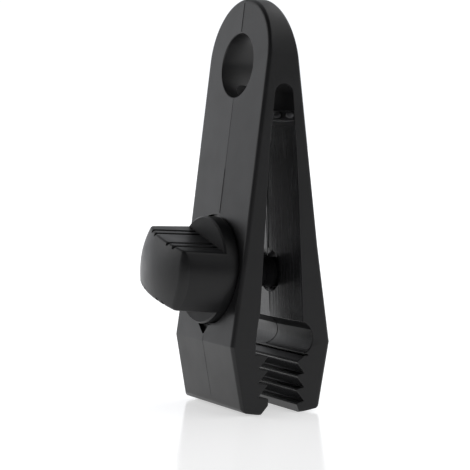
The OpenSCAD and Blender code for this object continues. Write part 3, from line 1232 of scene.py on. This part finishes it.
# %% [markdown]
# Most of the light comes from the studio's white walls, so the world is their stand-in. It is brightest
# behind the clip and darkens round the sides towards the photographer, and also upwards. Lamps alone could
# light the clip, but black plastic shows little except what it mirrors, so it is these falls of light that
# tell its faces apart.

# %% White studio walls
wall_colour = (0.955, 0.968, 1, 1)
wall_power = 1.1
dark_side = (0.84, -0.46, 0.2)
fall_stops = ((0.12, 1), (0.87, 0.06))
fall_middle = (0.72, 0.13)
world = bpy.data.worlds.new("white_studio")
bpy.context.scene.world = world
world.use_nodes = True
wall_nodes = world.node_tree.nodes
wall_links = world.node_tree.links
wall_light = wall_nodes["Background"]
wall_light.inputs["Color"].default_value = wall_colour
way = wall_nodes.new("ShaderNodeTexCoord").outputs["Generated"]
toward_dark = wall_nodes.new("ShaderNodeVectorMath")
toward_dark.operation = "DOT_PRODUCT"
toward_dark.inputs[1].default_value = dark_side
wall_links.new(way, toward_dark.inputs[0])
side_share = wall_nodes.new("ShaderNodeMapRange")
side_share.inputs["From Min"].default_value = -1
side_share.inputs["From Max"].default_value = 1
wall_links.new(toward_dark.outputs["Value"], side_share.inputs["Value"])
side_fall = wall_nodes.new("ShaderNodeValToRGB")
side_fall.color_ramp.interpolation = "EASE"
for stop_here, (position, level) in zip(side_fall.color_ramp.elements, fall_stops):
    stop_here.position = position
    stop_here.color = (level, level, level, 1)
middle_stop = side_fall.color_ramp.elements.new(fall_middle[0])
middle_stop.color = (fall_middle[1], fall_middle[1], fall_middle[1], 1)
wall_links.new(side_share.outputs["Result"], side_fall.inputs["Fac"])
side_power = wall_nodes.new("ShaderNodeMath")
side_power.operation = "MULTIPLY"
side_power.inputs[1].default_value = wall_power
wall_links.new(side_fall.outputs["Color"], side_power.inputs[0])
print("levels of the walls from bright to dark:", fall_stops[0][1], fall_middle[1], fall_stops[1][1])

# %% [markdown]
# The fall towards the ceiling is a second factor: full light just above the floor, half of it higher up. It
# multiplies the first, so both can be set apart.

# %% Darker towards the ceiling
ceiling_start = 0.04
ceiling_full = 0.5
ceiling_level = 0.5
way_parts = wall_nodes.new("ShaderNodeSeparateXYZ")
wall_links.new(way, way_parts.inputs["Vector"])
ceiling_fall = wall_nodes.new("ShaderNodeMapRange")
ceiling_fall.interpolation_type = "SMOOTHSTEP"
ceiling_fall.inputs["From Min"].default_value = ceiling_start
ceiling_fall.inputs["From Max"].default_value = ceiling_full
ceiling_fall.inputs["To Min"].default_value = 1
ceiling_fall.inputs["To Max"].default_value = ceiling_level
wall_links.new(way_parts.outputs["Z"], ceiling_fall.inputs["Value"])
whole_power = wall_nodes.new("ShaderNodeMath")
whole_power.operation = "MULTIPLY"
wall_links.new(side_power.outputs["Value"], whole_power.inputs[0])
wall_links.new(ceiling_fall.outputs["Result"], whole_power.inputs[1])
wall_links.new(whole_power.outputs["Value"], wall_light.inputs["Strength"])
print("nodes of the studio's light:", len(wall_nodes))

# %% [markdown]
# Three soft boxes add what the walls can't: one at the front left lights the knob's end, a wide one above and
# behind gives the head its bright upper side, and a weak one at the back right lifts the side of the clip.
# Each is an area light, because its rectangle shows in satin plastic as a soft highlight, where a point lamp
# would show as a dot.

# %% Soft boxes
clip_middle = Vector((0, -0.005, -0.03))


def soft_light(name, place, size, power):
    """A rectangular soft box that faces the middle of the clip, in metres and watts."""
    lamp = bpy.data.lights.new(name, "AREA")
    lamp.shape = "RECTANGLE"
    lamp.size = size[0]
    lamp.size_y = size[1]
    lamp.energy = power
    holder = bpy.data.objects.new(name, lamp)
    holder.location = place
    holder.rotation_euler = (clip_middle - Vector(place)).to_track_quat("-Z", "Y").to_euler()
    bpy.context.scene.collection.objects.link(holder)
    return holder


soft_light("left_soft_box", place=(-0.42, -0.56, 0.3), size=(0.5, 0.5), power=1.3)
soft_light("top_soft_box", place=(0.22, 0.42, 0.7), size=(1.8, 0.55), power=3.0)
soft_light("right_soft_box", place=(0.62, 0.37, 0.27), size=(0.5, 0.36), power=0.32)

# %% [markdown]
# The camera repeats the photograph's view: nearly level, from the clip's right and front, with a long lens.
# Its place came from lining up the outline and corners of the clip with the picture.

# %% Camera
image_width = 470
focal_pixels = 1689.6
sensor = 36.0
camera_place = Vector((317.85, -175.29, -12.95)) * MM
camera_target = Vector((-1.75, -3.26, -36.33)) * MM
camera_roll = math.radians(0.44)
back = (camera_place - camera_target).normalized()
level_right = Vector((0, 0, 1)).cross(back).normalized()
level_up = back.cross(level_right)
right = level_right * math.cos(camera_roll) + level_up * math.sin(camera_roll)
up = back.cross(right)
lens_data = bpy.data.cameras.new("photo_camera")
lens_data.sensor_width = sensor
lens_data.lens = focal_pixels * sensor / image_width
lens_data.clip_start = 0.01
camera = bpy.data.objects.new("photo_camera", lens_data)
camera.matrix_world = Matrix((right, up, back)).transposed().to_4x4()
camera.location = camera_place
bpy.context.scene.collection.objects.link(camera)
bpy.context.scene.camera = camera
bpy.context.scene.view_settings.view_transform = "Standard"
print("lens, mm:", round(lens_data.lens, 1))
